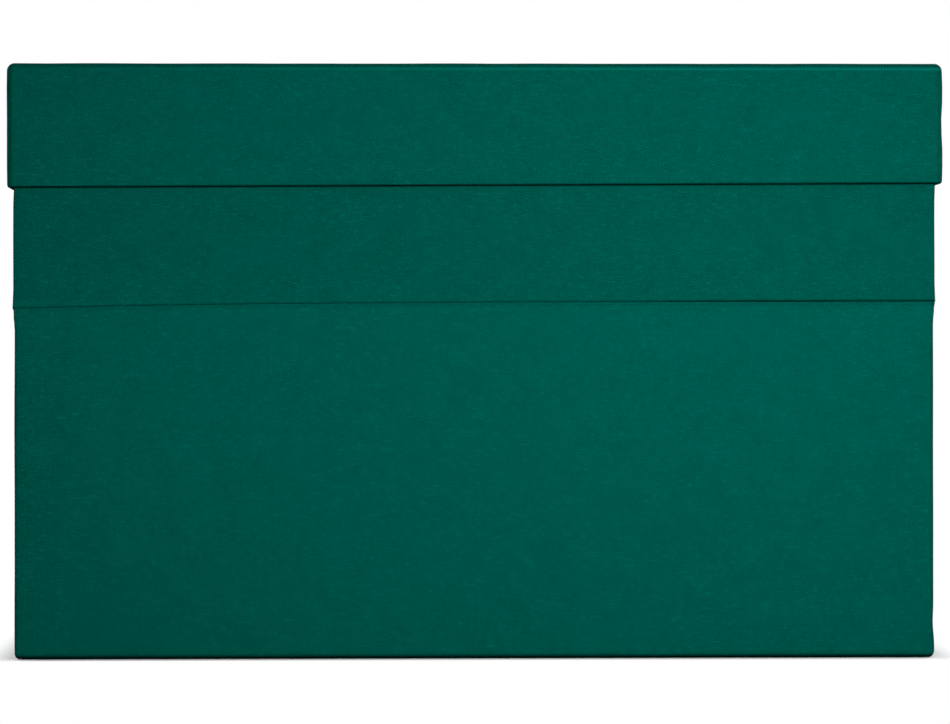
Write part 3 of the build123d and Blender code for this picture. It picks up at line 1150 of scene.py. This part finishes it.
print(f"floor {FLOOR:.0f} m wide, shadow kept within {SHADOW_WIDTH / MM:.0f} mm")

# %% [markdown]
# The light is that of a plain product picture. Four soft lamps stand close in front, each with
# its middle within the box's width, so that the rounded edges fall dark at the outline. The
# lower of the two on the right lights the box most, and the front grows a little lighter from
# left to right. Four large lamps stand at the sides and behind, for the faces that the
# photograph doesn't show.

# %% World and lamps
world = bpy.data.worlds.new("studio")
bpy.context.scene.world = world
world.use_nodes = True
tree = world.node_tree
tree.nodes.clear()
output = tree.nodes.new("ShaderNodeOutputWorld")
rays = add(tree, "LightPath")
seen_or_mirrored = add(
    tree, "Math", {0: rays.outputs["Is Camera Ray"], 1: rays.outputs["Is Glossy Ray"]},
    operation="MAXIMUM",
)
white = add(
    tree, "Math", {0: seen_or_mirrored, 1: rays.outputs["Is Transmission Ray"]},
    operation="MAXIMUM",
)
dim = add(tree, "Background", {"Color": (0.05, 0.05, 0.05, 1), "Strength": 1.0})
bright = add(tree, "Background", {"Color": (1, 1, 1, 1), "Strength": 1.0})
sky = add(tree, "MixShader", {0: white, 1: dim, 2: bright})
tree.links.new(sky.outputs[0], output.inputs["Surface"])

box_middle = Vector((0, 0, lid_high[2] / 2))


def lamp(name, azimuth, elevation, distance, size, watts):
    """A square soft lamp that faces the middle of the box, placed by its angles from the front."""
    data = bpy.data.lights.new(name, "AREA")
    data.shape = "SQUARE"
    data.size = size
    data.energy = watts
    light = bpy.data.objects.new(name, data)
    bpy.context.collection.objects.link(light)
    turn, rise = math.radians(azimuth), math.radians(elevation)
    direction = Vector((
        math.sin(turn) * math.cos(rise), -math.cos(turn) * math.cos(rise), math.sin(rise),
    ))
    light.location = box_middle + distance * direction
    light.rotation_euler = (-direction).to_track_quat("-Z", "Y").to_euler()
    light.visible_camera = False
    print(f"lamp {name}: {watts} W at {distance} m")


SMALL = 0.3
LARGE = 1.3
FAR = 2.6
lamp("front_right", azimuth=20, elevation=5, distance=0.55, size=SMALL, watts=1.18)
lamp("front_high", azimuth=20, elevation=35, distance=0.7, size=SMALL, watts=0.33)
lamp("front_low", azimuth=0, elevation=-4, distance=1.0, size=SMALL, watts=2.65)
lamp("front_left", azimuth=-20, elevation=5, distance=0.55, size=SMALL, watts=0.37)
lamp("side_left", azimuth=-125, elevation=10, distance=FAR, size=LARGE, watts=38)
lamp("side_right", azimuth=125, elevation=10, distance=FAR, size=LARGE, watts=38)
lamp("back_left", azimuth=-150, elevation=32, distance=FAR, size=LARGE, watts=44)
lamp("back_right", azimuth=150, elevation=32, distance=FAR, size=LARGE, watts=40)

# %% [markdown]
# A long lens from over two metres keeps the box's edges nearly square, as they are in the
# photograph. The camera is level with the middle of the box, and 1.6 degrees round to the left.

# %% Camera
DISTANCE = 2.255
ASIDE = -0.43 * MM
BELOW = 0.36 * MM
LENS = 200
SENSOR = 36
NEAREST = 0.1
TURN = math.radians(1.6)
ROLL = math.radians(0.055)
camera_data = bpy.data.cameras.new("camera")
camera_data.lens = LENS
camera_data.sensor_width = SENSOR
camera_data.clip_start = NEAREST
camera = bpy.data.objects.new("camera", camera_data)
bpy.context.collection.objects.link(camera)
camera.location = (
    ASIDE - DISTANCE * math.sin(TURN), -lid_y - DISTANCE * math.cos(TURN), box_middle.z - BELOW,
)
camera.rotation_euler = (math.radians(90), ROLL, -TURN)
bpy.context.scene.camera = camera
bpy.context.scene.view_settings.view_transform = "Standard"
print("camera at, in metres:", [round(value, 3) for value in camera.location])

# %% [markdown]

# %% Update the scene
bpy.context.view_layer.update()
